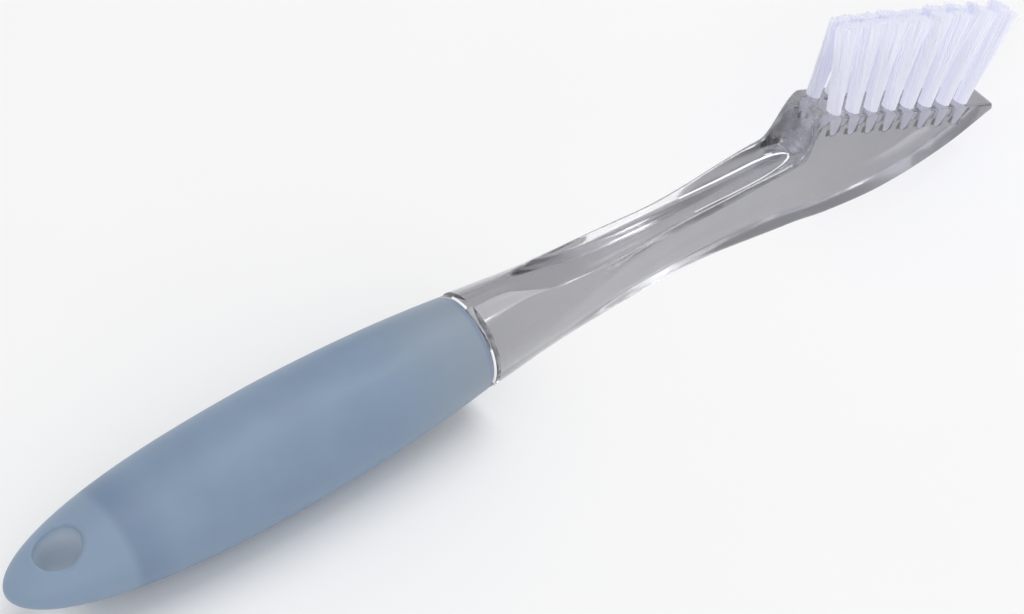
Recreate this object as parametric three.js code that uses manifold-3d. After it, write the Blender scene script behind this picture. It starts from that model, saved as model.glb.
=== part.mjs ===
// A grout brush: a clear moulded handle with a fluted neck and a wedge head, a soft sleeve over its tang,
// and two rows of bristle tufts, each folded over a flat wire anchor in the bottom of its hole.
// Millimetres. x runs along the brush from the tail end to the tip, y is sideways and z is up.
// Heights are measured from the middle of the grip until the finished brush is stood on z = 0.

import * as THREE from 'three';
import { LoftGeometry } from 'three/addons/geometries/LoftGeometry.js';
import { mergeVertices } from 'three/addons/utils/BufferGeometryUtils.js';
import Module from 'manifold-3d';

const wasm = await Module();
wasm.setup();

// Fits
const fitGap = 0.3; // clearance between pieces that touch on the real brush

// Soft grip
const gripLength = 101.5; // tail end to the face that meets the collar lip
const gripWidth = 25.8;
const gripHeight = 23.9;
const widestAt = 52; // from the tail end
const tallestAt = 62;
const tailDrop = 1.7; // the tail end lies this much below the middle of the grip
const tailBluntnessAbove = 2.5; // a larger number makes the tail blunter, here seen from above
const tailBluntnessBeside = 1.55; // and here seen from the side
const drawInPower = 2.1; // a larger number keeps the grip full for longer towards the collar
const gripWall = 2.6; // soft wall over the tang
const dimpleSetBack = 22.5; // middle of the thumb dimple, back from the collar end of the grip
const dimpleLength = 34;
const dimpleWidth = 12;
const dimpleDepth = 0.7;

// Hang hole
const hangHoleDiameter = 9;
const hangHoleRim = 1.2; // rounding of both rims
const tailEndWall = 5.6; // soft stretch from the tail end to the rim
const tangEndWall = 4; // soft stretch from the rim to the end of the tang

// Collar
const collarWidth = 19.6;
const collarHeight = 19.2;
const collarRise = 0.8; // the collar's middle lies this much above the middle of the grip
const lipThickness = 1.2;

// Neck
const collarToWaist = 42; // collar lip to the narrowest place
const waistToHeel = 41.6; // narrowest place to the heel edge of the bristle face
const waistWidth = 9.4;
const waistTop = 7.6;
const waistBottom = 6.9;
const heelFootLength = 9.5; // before the heel edge, where the neck turns up into the heel
const heelFootTop = 7.3;
const heelFootBottom = 8.7;
const neckEdgeRound = 3; // rounding of the neck's long edges at the waist

// Flute along the top of the neck: a flat floor between sloping walls, with a ramp down to it at the collar
// and a round end before the heel
const fluteFloor = 5;
const fluteCollarWidth = 11; // of the floor at the collar
const fluteWaistWidth = 6.2;
const fluteHeelWidth = 4.5; // of the floor before its round end
const fluteWallAngle = 55; // degrees from level
const fluteStart = 1; // from the collar lip
const fluteRamp = 28; // length of the ramp
const fluteRampPower = 3; // a larger number makes the ramp drop sooner
const fluteEnd = 6.3; // end of the floor, before the heel edge
const fluteEndRound = 9.7; // length over which the floor closes

// Head
const headLength = 44; // heel edge to tip
const headWidth = 10.7;
const heelTop = 14.9;
const heelHollow = 1.9; // depth of the hollow in the heel's rise
const heelBottom = 10.7;
const heelToBelly = 14.5; // heel edge to the lowest place
const bellyBottom = 12.15;
const chinLength = 12; // before the tip, where the belly turns up to it
const chinBottom = 10.4;
const tipTop = -5.4;
const tipThickness = 1.5;
const headLowerRound = 1.3;
const headUpperRound = 0.45;

// Tufts, placed along the bristle face
const tuftDiameter = 2.8;
const tuftWall = 1.98; // plastic left between neighbouring holes of a row
const heelWall = 0.7; // plastic left between the heel edge and the first hole
const tipMargin = 8; // least distance from the middle of the last hole to the tip
const sideWall = 0.55; // plastic left between a row of holes and the side of the head
const heelTuftLength = 19; // free length of the first tuft of a row
const tipTuftLength = 20.4; // free length of the last
const tuftHoleDepth = 6;
const tuftTopWidth = 2; // spread of the trimmed end across the rows
const tuftTopGap = 1; // left between neighbouring trimmed ends along a row
const firstTuftLean = -10.8; // degrees towards the tip from square to the face
const lastTuftLean = 14.2;

// Anchors
const anchorThickness = 0.4;
const anchorHeight = 1.4;
const anchorBite = 0.25; // length of each end in the wall of the hole
const foldThickness = 0.7; // filaments folded under the anchor

// Facets
const arcSteps = 7; // on each round corner of a cross-section
const topSteps = 6; // on each half of its top
const tailSteps = 12; // sections along each stretch of the brush
const bodySteps = 12;
const tangSteps = 10;
const neckSteps = 24;
const heelSteps = 12;
const headSteps = 10;
const tailTipAngle = 0.04; // the first section of the tail, as an angle round its nose
const tuftSides = 10;
const holeSides = 14;
const rimSteps = 4;

// Sizes that follow from those above
const hangHoleAt = tailEndWall + hangHoleRim + hangHoleDiameter / 2;
const tangAt = hangHoleAt + hangHoleDiameter / 2 + hangHoleRim + tangEndWall;
const collarAt = gripLength + fitGap;
const neckAt = collarAt + lipThickness;
const waistAt = neckAt + collarToWaist;
const heelAt = waistAt + waistToHeel;
const footAt = heelAt - heelFootLength;
const tipAt = heelAt + headLength;
const faceSlope = Math.atan2(heelTop - tipTop, headLength);
const faceLength = Math.hypot(heelTop - tipTop, headLength);
const tuftHoleDiameter = tuftDiameter + 2 * fitGap;
const tuftPitch = tuftHoleDiameter + tuftWall;
const firstTuftAt = tuftHoleDiameter / 2 + heelWall;
const tuftsPerRow = 1 + Math.floor((faceLength - firstTuftAt - tipMargin) / tuftPitch);
const leanStep = THREE.MathUtils.degToRad((lastTuftLean - firstTuftLean) / (tuftsPerRow - 1));
const tuftTopLength = tuftPitch + heelTuftLength * Math.tan(leanStep) - tuftTopGap;
const rowSpacing = headWidth - tuftHoleDiameter - 2 * sideWall;
const rowMeetIn = (rowSpacing - tuftTopWidth - fitGap) / 2; // brings the two rows together at the top
const anchorLength = tuftHoleDiameter + 2 * anchorBite;
const tuftDepth = tuftHoleDepth - fitGap;
const anchorWindow = anchorHeight + 2 * fitGap;
const anchorDepth = tuftDepth - foldThickness - anchorWindow / 2;

const clearPlastic = { color: 0xa3a3a8, roughness: 0.08, metalness: 0, transparent: true, opacity: 0.55 };
const softGripRubber = { color: 0x8499b2, roughness: 0.55, metalness: 0 };
const whiteNylon = { color: 0xe6e7f4, roughness: 0.5, metalness: 0 };
const anchorWire = { color: 0xb4aa92, roughness: 0.35, metalness: 1 };

// A smooth line through a few stations: along holds where they lie, values what they are there.
function lineThrough(along, values) {
  const line = new THREE.CubicInterpolant(along, values, 1);
  return (x) => line.evaluate(x)[0];
}

// 1 in the middle of a stretch, falling smoothly to 0 at its two ends
function swell(offset, length) {
  const share = THREE.MathUtils.clamp(offset / (length / 2), -1, 1);
  return Math.cos((share * Math.PI) / 2) ** 2;
}

// A round nose that grows from 0 at the tail end to 1 at the fullest place
function nose(x, fullestAt, bluntness) {
  const left = THREE.MathUtils.clamp(1 - x / fullestAt, 0, 1);
  return Math.sqrt(1 - left ** bluntness);
}

// From the fullest place the grip draws in towards the collar.
function drawIn(x, fullestAt, full, end) {
  const share = Math.max(0, (x - fullestAt) / (gripLength - fullestAt));
  return full - (full - end) * share ** drawInPower;
}

function gripHalfWidth(x) {
  return nose(x, widestAt, tailBluntnessAbove) * drawIn(x, widestAt, gripWidth / 2, collarWidth / 2);
}

function gripHalfHeight(x) {
  return nose(x, tallestAt, tailBluntnessBeside) * drawIn(x, tallestAt, gripHeight / 2, collarHeight / 2);
}

function gripMiddle(x) {
  return THREE.MathUtils.mapLinear(x, 0, gripLength, -tailDrop, collarRise);
}

// One closed cross-section: flat bottom, sides and top joined by four round corners. trim lowers the top.
function section(x, size, trim = (y, z) => z) {
  const { halfWidth, bottom, top, bottomRound, topRound } = size;
  const halfHeight = (top - bottom) / 2;
  const fullest = 0.97; // leaves a trace of each flat, so that no two points meet
  const corners = [
    { round: bottomRound, middle: bottom, sign: 1, from: -Math.PI / 2 },
    { round: topRound, middle: top, sign: -1, from: 0 },
  ];
  const half = [new THREE.Vector2(0, bottom)];
  for (const { round, middle, sign, from } of corners) {
    const across = Math.min(round, fullest * halfWidth);
    const upright = Math.min(round, fullest * halfHeight);
    for (let i = 0; i <= arcSteps; i += 1) {
      const angle = from + (i / arcSteps) * (Math.PI / 2);
      const y = halfWidth - across + across * Math.cos(angle);
      half.push(new THREE.Vector2(y, middle + sign * upright + upright * Math.sin(angle)));
    }
  }
  const topFlat = half.at(-1).x;
  for (let i = 1; i <= topSteps; i += 1) {
    half.push(new THREE.Vector2(topFlat * (1 - i / topSteps), top));
  }
  const middleHeight = (top + bottom) / 2;
  for (const p of half) {
    p.y = p.y > middleHeight ? trim(p.x, p.y) : p.y;
  }
  const mirrored = half.slice(1, -1).reverse().map((p) => new THREE.Vector2(-p.x, p.y));
  return [...half, ...mirrored].map((p) => new THREE.Vector3(x, p.x, p.y));
}

// A cross-section that is round all the way
function ovalSection(x, halfWidth, halfHeight, middle, trim) {
  const bottom = middle - halfHeight;
  const top = middle + halfHeight;
  const round = halfWidth + halfHeight; // more than fits, so that the corners take up all of the sides
  return section(x, { halfWidth, bottom, top, bottomRound: round, topRound: round }, trim);
}

function steps(from, to, count) {
  return Array.from({ length: count + 1 }, (_, i) => THREE.MathUtils.lerp(from, to, i / count));
}

function loft(sections) {
  return new LoftGeometry(sections, { capStart: true, capEnd: true });
}

function solidOf(geometry) {
  const plain = new THREE.BufferGeometry().copy(geometry);
  plain.deleteAttribute('normal');
  plain.deleteAttribute('uv');
  const merged = mergeVertices(plain, 1e-5);
  const vertProperties = Float32Array.from(merged.attributes.position.array);
  const triVerts = Uint32Array.from(merged.index.array);
  return new wasm.Manifold(new wasm.Mesh({ numProp: 3, vertProperties, triVerts }));
}

function geometryOf(solid) {
  const mesh = solid.getMesh();
  const geometry = new THREE.BufferGeometry();
  geometry.setAttribute('position', new THREE.BufferAttribute(mesh.vertProperties, 3));
  geometry.setIndex(new THREE.BufferAttribute(mesh.triVerts, 1));
  geometry.computeVertexNormals();
  return geometry;
}

function cutFrom(geometry, cutters) {
  let solid = solidOf(geometry);
  for (const cutter of cutters) {
    solid = solid.subtract(solidOf(cutter));
  }
  return geometryOf(solid);
}

function piece(name, geometry, finish) {
  const mesh = new THREE.Mesh(geometry, new THREE.MeshStandardMaterial(finish));
  mesh.name = name;
  return mesh;
}

// Sections of a plug that fills the grip to within a wall, from one place to another
function plugSections(wall, from, to) {
  return steps(from, to, tangSteps).map((x) => {
    return ovalSection(x, gripHalfWidth(x) - wall, gripHalfHeight(x) - wall, gripMiddle(x));
  });
}

function hangHoleCutter() {
  const radius = hangHoleDiameter / 2;
  const reach = gripHalfHeight(hangHoleAt) + hangHoleRim / 2;
  const profile = new THREE.Path();
  profile.moveTo(0, -reach);
  profile.lineTo(radius + hangHoleRim, -reach);
  profile.absarc(radius + hangHoleRim, -reach + hangHoleRim, hangHoleRim, -Math.PI / 2, -Math.PI, true);
  profile.lineTo(radius, reach - hangHoleRim);
  profile.absarc(radius + hangHoleRim, reach - hangHoleRim, hangHoleRim, Math.PI, Math.PI / 2, true);
  profile.lineTo(0, reach);
  const cutter = new THREE.LatheGeometry(profile.getPoints(rimSteps), holeSides * 2);
  cutter.rotateX(Math.PI / 2);
  cutter.translate(hangHoleAt, 0, gripMiddle(hangHoleAt));
  return cutter;
}

function softGrip() {
  const tail = steps(tailTipAngle, Math.PI / 2, tailSteps).map((angle) => widestAt * (1 - Math.cos(angle)));
  const body = steps(widestAt, gripLength, bodySteps).slice(1);
  const skin = [...tail, ...body].map((x) => {
    const hollow = dimpleDepth * swell(x - (gripLength - dimpleSetBack), dimpleLength);
    const dimple = (y, z) => z - hollow * swell(y, dimpleWidth);
    return ovalSection(x, gripHalfWidth(x), gripHalfHeight(x), gripMiddle(x), dimple);
  });
  const cavity = plugSections(gripWall, tangAt - fitGap, gripLength);
  const mouth = cavity.at(-1).map((p) => p.clone().setX(gripLength + lipThickness));
  const cutters = [loft([...cavity, mouth]), hangHoleCutter()];
  return piece('soft_grip', cutFrom(loft(skin), cutters), softGripRubber);
}

// Lines that carry the neck and head, all read at a place x along the brush
const halfWidthLine = lineThrough(
  [neckAt, waistAt, footAt, tipAt],
  [collarWidth / 2, waistWidth / 2, headWidth / 2, headWidth / 2],
);
const neckTopLine = lineThrough(
  [neckAt, waistAt, footAt],
  [collarRise + collarHeight / 2, waistTop, heelFootTop],
);
const bottomLine = lineThrough(
  [neckAt, waistAt, footAt, heelAt, heelAt + heelToBelly, tipAt - chinLength, tipAt],
  [
    collarRise - collarHeight / 2,
    -waistBottom,
    -heelFootBottom,
    -heelBottom,
    -bellyBottom,
    -chinBottom,
    tipTop - tipThickness,
  ],
);

function faceHeight(x) {
  return heelTop - (x - heelAt) * Math.tan(faceSlope);
}

// From its foot the heel rises to the bristle face and levels off there.
function neckTop(x) {
  return THREE.MathUtils.lerp(neckTopLine(x), heelTop, THREE.MathUtils.smoothstep(x, footAt, heelAt));
}

// The long edges go from fully round at the collar, over the waist, to nearly square at the head.
function edgeRound(x, headRound) {
  const toWaist = THREE.MathUtils.smoothstep(x, neckAt, waistAt);
  const toHead = THREE.MathUtils.smoothstep(x, waistAt, footAt);
  const neckRound = THREE.MathUtils.lerp(collarWidth / 2, neckEdgeRound, toWaist);
  return THREE.MathUtils.lerp(neckRound, headRound, toHead);
}

const fluteEndAt = heelAt - fluteEnd;
const fluteCloseAt = fluteEndAt - fluteEndRound;
const fluteHalfLine = lineThrough(
  [neckAt, waistAt, fluteCloseAt],
  [fluteCollarWidth / 2, fluteWaistWidth / 2, fluteHeelWidth / 2],
);

function fluteHalfWidth(x) {
  const closed = THREE.MathUtils.clamp((x - fluteCloseAt) / fluteEndRound, 0, 1);
  return fluteHalfLine(x) * Math.sqrt(1 - closed ** 2);
}

// The height that the flute cuts the neck down to at a place along and across it
function fluteHeight(x, y) {
  const rampLeft = Math.max(0, 1 - (x - neckAt - fluteStart) / fluteRamp);
  const ramp = (collarRise + collarHeight / 2 - fluteFloor) * rampLeft ** fluteRampPower;
  const pastEnd = Math.max(0, x - fluteEndAt);
  const beside = Math.max(0, Math.abs(y) - fluteHalfWidth(x));
  const outward = Math.hypot(pastEnd, beside);
  return fluteFloor + ramp + outward * Math.tan(THREE.MathUtils.degToRad(fluteWallAngle));
}

function neckSection(x) {
  const halfWidth = x < footAt ? halfWidthLine(x) : headWidth / 2;
  const size = {
    halfWidth,
    bottom: bottomLine(x),
    top: neckTop(x),
    bottomRound: edgeRound(x, headLowerRound),
    topRound: edgeRound(x, headUpperRound),
  };
  const hollow = heelHollow * swell(x - (footAt + heelAt) / 2, heelFootLength);
  const hollowed = (y, z) => z - hollow * (1 - (y / halfWidth) ** 2);
  return section(x, size, (y, z) => Math.min(hollowed(y, z), fluteHeight(x, y)));
}

function headSection(x) {
  const size = {
    halfWidth: headWidth / 2,
    bottom: bottomLine(x),
    top: faceHeight(x),
    bottomRound: headLowerRound,
    topRound: headUpperRound,
  };
  return section(x, size);
}

function handleSections() {
  const tang = plugSections(gripWall + fitGap, tangAt, gripLength);
  const root = tang.at(-1).map((p) => p.clone().setX(collarAt));
  const lip = [collarAt, neckAt].map((x) => {
    return ovalSection(x, collarWidth / 2, collarHeight / 2, collarRise);
  });
  const neck = steps(neckAt, footAt, neckSteps).slice(1).map(neckSection);
  const heel = steps(footAt, heelAt, heelSteps).slice(1).map(neckSection);
  const head = steps(heelAt, tipAt, headSteps).slice(1).map(headSection);
  return [...tang, root, ...lip, ...neck, ...heel, ...head];
}

// Places a piece, made upright about its own origin, on the bristle face.
// side is -1 for the near row and 1 for the far row.
function onFace(mesh, index, side) {
  const along = firstTuftAt + index * tuftPitch;
  const lean = faceSlope + THREE.MathUtils.degToRad(firstTuftLean) + index * leanStep;
  const x = heelAt + along * Math.cos(faceSlope);
  mesh.position.set(x, (side * rowSpacing) / 2, faceHeight(x));
  mesh.rotation.y = lean;
  mesh.updateMatrixWorld();
  return mesh;
}

function tuftHoleCutters(index, side) {
  const radius = tuftHoleDiameter / 2;
  const overrun = radius; // past the face, so that the mouth of a leaning hole is cut through
  const bore = new THREE.CylinderGeometry(radius, radius, tuftHoleDepth + overrun, holeSides);
  bore.rotateX(Math.PI / 2);
  bore.translate(0, 0, (overrun - tuftHoleDepth) / 2);
  const slot = new THREE.BoxGeometry(anchorLength + 2 * fitGap, anchorThickness + 2 * fitGap, anchorWindow);
  slot.translate(0, 0, -anchorDepth);
  return [bore, slot].map((cutter) => {
    const place = onFace(new THREE.Mesh(cutter), index, side);
    return cutter.applyMatrix4(place.matrixWorld);
  });
}

function eachTuft(make) {
  const made = [];
  for (const side of [-1, 1]) {
    for (let index = 0; index < tuftsPerRow; index += 1) {
      made.push(make(index, side));
    }
  }
  return made;
}

function clearHandle() {
  const cutters = eachTuft(tuftHoleCutters).flat();
  return piece('clear_handle', cutFrom(loft(handleSections()), cutters), clearPlastic);
}

function tuftRing(height, halfLength, halfWidth, shift = 0) {
  return Array.from({ length: tuftSides }, (_, i) => {
    const angle = (i / tuftSides) * 2 * Math.PI;
    return new THREE.Vector3(halfLength * Math.cos(angle), shift + halfWidth * Math.sin(angle), height);
  });
}

// A tuft stands in its hole, spreads along the row and leans in to the other row above the face,
// and is pierced near its fold by the anchor.
function tuftGeometry(index, side) {
  const freeLength = THREE.MathUtils.lerp(heelTuftLength, tipTuftLength, index / (tuftsPerRow - 1));
  const radius = tuftDiameter / 2;
  const rings = [
    tuftRing(-tuftDepth, radius, radius),
    tuftRing(0, radius, radius),
    tuftRing(freeLength, tuftTopLength / 2, tuftTopWidth / 2, -side * rowMeetIn),
  ];
  const window = new THREE.BoxGeometry(2 * tuftDiameter, anchorThickness + 2 * fitGap, anchorWindow);
  window.translate(0, 0, -anchorDepth);
  return cutFrom(loft(rings), [window]);
}

function anchorGeometry() {
  const wire = new THREE.BoxGeometry(anchorLength, anchorThickness, anchorHeight);
  wire.translate(0, 0, -anchorDepth);
  return wire;
}

function rowName(side) {
  return side < 0 ? 'near' : 'far';
}

const assembly = new THREE.Group();
const anchorShape = anchorGeometry();
assembly.add(clearHandle(), softGrip());
assembly.add(...eachTuft((index, side) => {
  const name = `tuft_${rowName(side)}_${index + 1}`;
  return onFace(piece(name, tuftGeometry(index, side), whiteNylon), index, side);
}));
assembly.add(...eachTuft((index, side) => {
  return onFace(piece(`anchor_${rowName(side)}_${index + 1}`, anchorShape.clone(), anchorWire), index, side);
}));

// The brush lies on its belly: its box stands on z = 0 with the origin under its middle.
const box = new THREE.Box3().setFromObject(assembly, true);
const middle = box.getCenter(new THREE.Vector3());
assembly.position.set(-middle.x, -middle.y, -box.min.z);

const groutBrush = new THREE.Group();
groutBrush.add(assembly);

export default groutBrush;
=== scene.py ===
# Grout brush: clear moulded handle, soft sleeve on its grip, two rows of bristle tufts held by wire anchors
import bisect
import math
import random

import bmesh
import bpy
from mathutils import Matrix, Vector


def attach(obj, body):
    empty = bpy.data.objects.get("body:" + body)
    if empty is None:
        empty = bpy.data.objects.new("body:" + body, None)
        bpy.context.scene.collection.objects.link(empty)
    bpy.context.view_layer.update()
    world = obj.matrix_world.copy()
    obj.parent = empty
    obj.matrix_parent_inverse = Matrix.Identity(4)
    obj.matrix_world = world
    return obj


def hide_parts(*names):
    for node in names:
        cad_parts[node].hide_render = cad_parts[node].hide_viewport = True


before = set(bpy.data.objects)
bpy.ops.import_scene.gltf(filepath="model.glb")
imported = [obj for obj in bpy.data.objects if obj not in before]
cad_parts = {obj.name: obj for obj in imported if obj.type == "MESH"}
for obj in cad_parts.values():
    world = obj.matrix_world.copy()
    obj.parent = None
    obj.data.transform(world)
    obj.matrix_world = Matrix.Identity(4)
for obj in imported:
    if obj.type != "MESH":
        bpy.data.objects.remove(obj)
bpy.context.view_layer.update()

# Sizes are brush millimetres: x from the tail end to the tip, y sideways, z up from the middle of the grip.
brushFrame = {"tailToOrigin": 119.005, "middleAboveFloor": 12.15}


def toFrame(x, y, z):
    return Vector((x - brushFrame["tailToOrigin"], y, z + brushFrame["middleAboveFloor"])) / 1000


def toBrush(place):
    x, z = place.x * 1000 + brushFrame["tailToOrigin"], place.z * 1000 - brushFrame["middleAboveFloor"]
    return x, place.y * 1000, z


# Helpers for shapes

def clamp(value, low=0.0, high=1.0):
    return max(low, min(high, value))


def mix(a, b, share):
    return a + (b - a) * share


def smoothStep(x, start, end):
    share = clamp((x - start) / (end - start))
    return share * share * (3 - 2 * share)


def spread(start, end, count):
    return [mix(start, end, i / count) for i in range(count + 1)]


def turns(count):  # angles evenly round a circle
    return [2 * math.pi * i / count for i in range(count)]


def lineThrough(stations):  # a smooth line through (place, value) pairs
    places = [place for place, value in stations]
    values = [value for place, value in stations]

    def line(x):
        if x <= places[0] or x >= places[-1]:
            return values[0] if x <= places[0] else values[-1]
        i = bisect.bisect_right(places, x) - 1
        length = places[i + 1] - places[i]
        before, after = values[i + 1], values[i]
        weightBefore = weightAfter = -0.5
        if i > 0:
            before, weightBefore = values[i - 1], length / 2 / (places[i] - places[i - 1])
        if i + 2 < len(places):
            after, weightAfter = values[i + 2], length / 2 / (places[i + 2] - places[i + 1])
        p = (x - places[i]) / length
        p2, p3 = p * p, p * p * p
        partBefore = -weightBefore * p3 + 2 * weightBefore * p2 - weightBefore * p
        partStart = (1 + weightBefore) * p3 + (-1.5 - 2 * weightBefore) * p2 + (-0.5 + weightBefore) * p + 1
        partEnd = (-1 - weightAfter) * p3 + (1.5 + weightAfter) * p2 + 0.5 * p
        partAfter = weightAfter * p3 - weightAfter * p2
        return partBefore * before + partStart * values[i] + partEnd * values[i + 1] + partAfter * after

    return line


def softMin(a, b, blend):  # the lower of two heights, with the edge between them rounded
    near = max(blend - abs(a - b), 0) / blend
    return min(a, b) - near * near * blend / 4


def softRise(distance, blend):  # 0, then a slope of 1, with the foot between them rounded
    if distance <= -blend:
        return 0.0
    return distance if distance >= blend else (distance + blend) ** 2 / (4 * blend)


# Helpers for meshes

def startFresh():
    if bpy.context.object and bpy.context.object.mode != "OBJECT":
        bpy.ops.object.mode_set(mode="OBJECT")
    bpy.ops.object.select_all(action="DESELECT")


# A disc takes the first section, and its face is drawn out from section to section.
def extrudeRings(name, rings):
    startFresh()
    bpy.ops.mesh.primitive_circle_add(
        vertices=len(rings[0]), radius=0.01, fill_type="NGON", enter_editmode=True,
    )
    piece = bpy.context.object
    piece.name = piece.data.name = name
    mesh = bmesh.from_edit_mesh(piece.data)
    for vert, place in zip(mesh.verts, rings[0]):
        vert.co = place
    bpy.ops.mesh.select_all(action="SELECT")
    last = rings[0]
    for ring in rings[1:]:
        bpy.ops.mesh.extrude_region_move()
        mesh = bmesh.from_edit_mesh(piece.data)
        order = {tuple(place): i for i, place in enumerate(last)}
        for vert in mesh.verts:
            if vert.select:
                vert.co = ring[order[tuple(vert.co)]]
        last = ring
    bpy.ops.mesh.select_all(action="SELECT")
    bpy.ops.mesh.normals_make_consistent(inside=False)
    bpy.ops.object.mode_set(mode="OBJECT")
    return piece


def cutAway(piece, cutter):
    startFresh()
    piece.select_set(True)
    bpy.context.view_layer.objects.active = piece
    cut = piece.modifiers.new("cut", "BOOLEAN")
    cut.operation, cut.solver, cut.object = "DIFFERENCE", "EXACT", cutter
    cut.material_mode = "TRANSFER"  # the faces it leaves keep the cutter's finish
    bpy.ops.object.modifier_apply(modifier=cut.name)
    bpy.data.objects.remove(cutter)


def joinPieces(name, pieces):
    startFresh()
    for piece in pieces:
        piece.select_set(True)
    bpy.context.view_layer.objects.active = pieces[0]
    bpy.ops.object.join()
    pieces[0].name = pieces[0].data.name = name
    return pieces[0]


def copyPiece(piece, name):  # each copy has its own mesh
    copy = piece.copy()
    copy.data = piece.data.copy()
    copy.name = copy.data.name = name
    bpy.context.collection.objects.link(copy)
    return copy


def smoothByAngle(piece, degrees):
    startFresh()
    piece.select_set(True)
    bpy.context.view_layer.objects.active = piece
    bpy.ops.object.shade_smooth_by_angle(angle=math.radians(degrees))


def dress(piece, slot, *nodes):
    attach(piece, "root")
    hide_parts(*nodes)


# Helpers for materials

def srgb(hexColour):
    parts = [int(hexColour[i:i + 2], 16) / 255 for i in (1, 3, 5)]
    return [c / 12.92 if c <= 0.04045 else ((c + 0.055) / 1.055) ** 2.4 for c in parts] + [1.0]


def perMetre(millimetres):  # the scale of a pattern whose features are this large
    return 1000 / millimetres


def newMaterial(name):
    material = bpy.data.materials.new(name)
    material.use_nodes = True
    material.node_tree.nodes.clear()
    return material, material.node_tree


def addNode(tree, kind, inputs, **settings):  # inputs are values or the sockets of other nodes
    node = tree.nodes.new(kind)
    for key, value in settings.items():
        setattr(node, key, value)
    for key, value in inputs.items():
        if isinstance(value, bpy.types.NodeSocket):
            tree.links.new(value, node.inputs[key])
        else:
            node.inputs[key].default_value = value
    return node


# Mix nodes hold one set of sockets for each kind of value: these are the ones for colours.
mixFactor, mixA, mixB, mixOut = 0, 6, 7, 2


# Camera, at the photograph's angle
camera = {
    "target": (115, 2.77, -0.07),
    "azimuth": -36.97,
    "elevation": 45.16,
    "distance": 800,
    "focalPixels": 4209.35,  # of a frame 1024 wide
    "frameWidth": 1024,
    "sensorWidth": 36,
}


def makeCamera():
    azimuth, elevation = math.radians(camera["azimuth"]), math.radians(camera["elevation"])
    right = Vector((math.cos(azimuth), math.sin(azimuth), 0))
    back = Vector((
        math.sin(azimuth) * math.cos(elevation),
        -math.cos(azimuth) * math.cos(elevation),
        math.sin(elevation),
    ))
    turn = Matrix((right, back.cross(right), back)).transposed()
    place = toFrame(*camera["target"]) + back * camera["distance"] / 1000
    bpy.ops.object.camera_add(location=place, rotation=turn.to_euler())
    lens = bpy.context.object.data
    lens.sensor_fit = "HORIZONTAL"
    lens.sensor_width = camera["sensorWidth"]
    lens.lens = camera["focalPixels"] / camera["frameWidth"] * camera["sensorWidth"]
    lens.clip_start, lens.clip_end = 0.01, 20
    bpy.context.scene.camera = bpy.context.object


startFresh()
makeCamera()
print("camera placed")


# Soft grip
grip = {
    "length": 101.5,
    "width": 25.8,
    "height": 23.9,
    "widestAt": 52,
    "tallestAt": 62,
    "endWidth": 19.6,
    "endHeight": 19.2,
    "tailDrop": 1.7,
    "endRise": 0.8,
    "bluntnessAbove": 2.5,
    "bluntnessBeside": 1.55,
    "drawInPower": 2.1,
    "wall": 2.6,
    "endRound": 0.6,
    "cavityFrom": 20.7,
    "dimpleAt": 79,
    "dimpleLength": 34,
    "dimpleWidth": 12,
    "dimpleDepth": 0.7,
    "holeAt": 11.3,
    "holeDiameter": 9,
    "holeRim": 1.2,
    "holeTaper": 1.2,  # the bore is this much narrower at its lower end
    "lowerRimShare": 0.35,  # of the upper rim's rounding
    "holeSides": 48,
    "flareSteps": 7,
    "flareFrom": 12,  # degrees from level
    "flarePast": 1.5,  # how far the cutter goes on past the skin
    "sides": 80,
    "tailStart": 0.04,  # radians round the tail's end
    "tailSteps": 44,
    "bodySteps": 44,
    "edgeSteps": 5,
    "cavitySteps": 20,
    "smoothAngle": 40,
}


def nose(x, fullestAt, bluntness):
    return math.sqrt(1 - clamp(1 - x / fullestAt) ** bluntness)


def drawIn(x, fullestAt, full, end):
    share = max(0, (x - fullestAt) / (grip["length"] - fullestAt))
    return full - (full - end) * share ** grip["drawInPower"]


def gripHalfWidth(x):
    full = drawIn(x, grip["widestAt"], grip["width"] / 2, grip["endWidth"] / 2)
    return nose(x, grip["widestAt"], grip["bluntnessAbove"]) * full


def gripHalfHeight(x):
    full = drawIn(x, grip["tallestAt"], grip["height"] / 2, grip["endHeight"] / 2)
    return nose(x, grip["tallestAt"], grip["bluntnessBeside"]) * full


def gripMiddle(x):
    return mix(-grip["tailDrop"], grip["endRise"], x / grip["length"])


def swell(offset, length):  # 1 in the middle of a stretch and 0 at both ends
    return math.cos(clamp(offset / (length / 2), -1, 1) * math.pi / 2) ** 2


def gripRing(x, inset=0.0, place=None):
    wide, high = gripHalfWidth(x) - inset, gripHalfHeight(x) - inset
    ring = []
    for angle in turns(grip["sides"]):
        y, z = wide * math.sin(angle), high * math.cos(angle)
        if z > 0 and inset == 0:
            hollow = grip["dimpleDepth"] * swell(x - grip["dimpleAt"], grip["dimpleLength"])
            z -= hollow * swell(y, grip["dimpleWidth"])
        ring.append(toFrame(x if place is None else place, y, z + gripMiddle(x)))
    return ring


def gripSkin(x, y, side):  # height of the grip's upper (1) or lower (-1) skin
    across = clamp(y / gripHalfWidth(x), -1, 1)
    return gripMiddle(x) + side * gripHalfHeight(x) * math.sqrt(1 - across * across)


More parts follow.
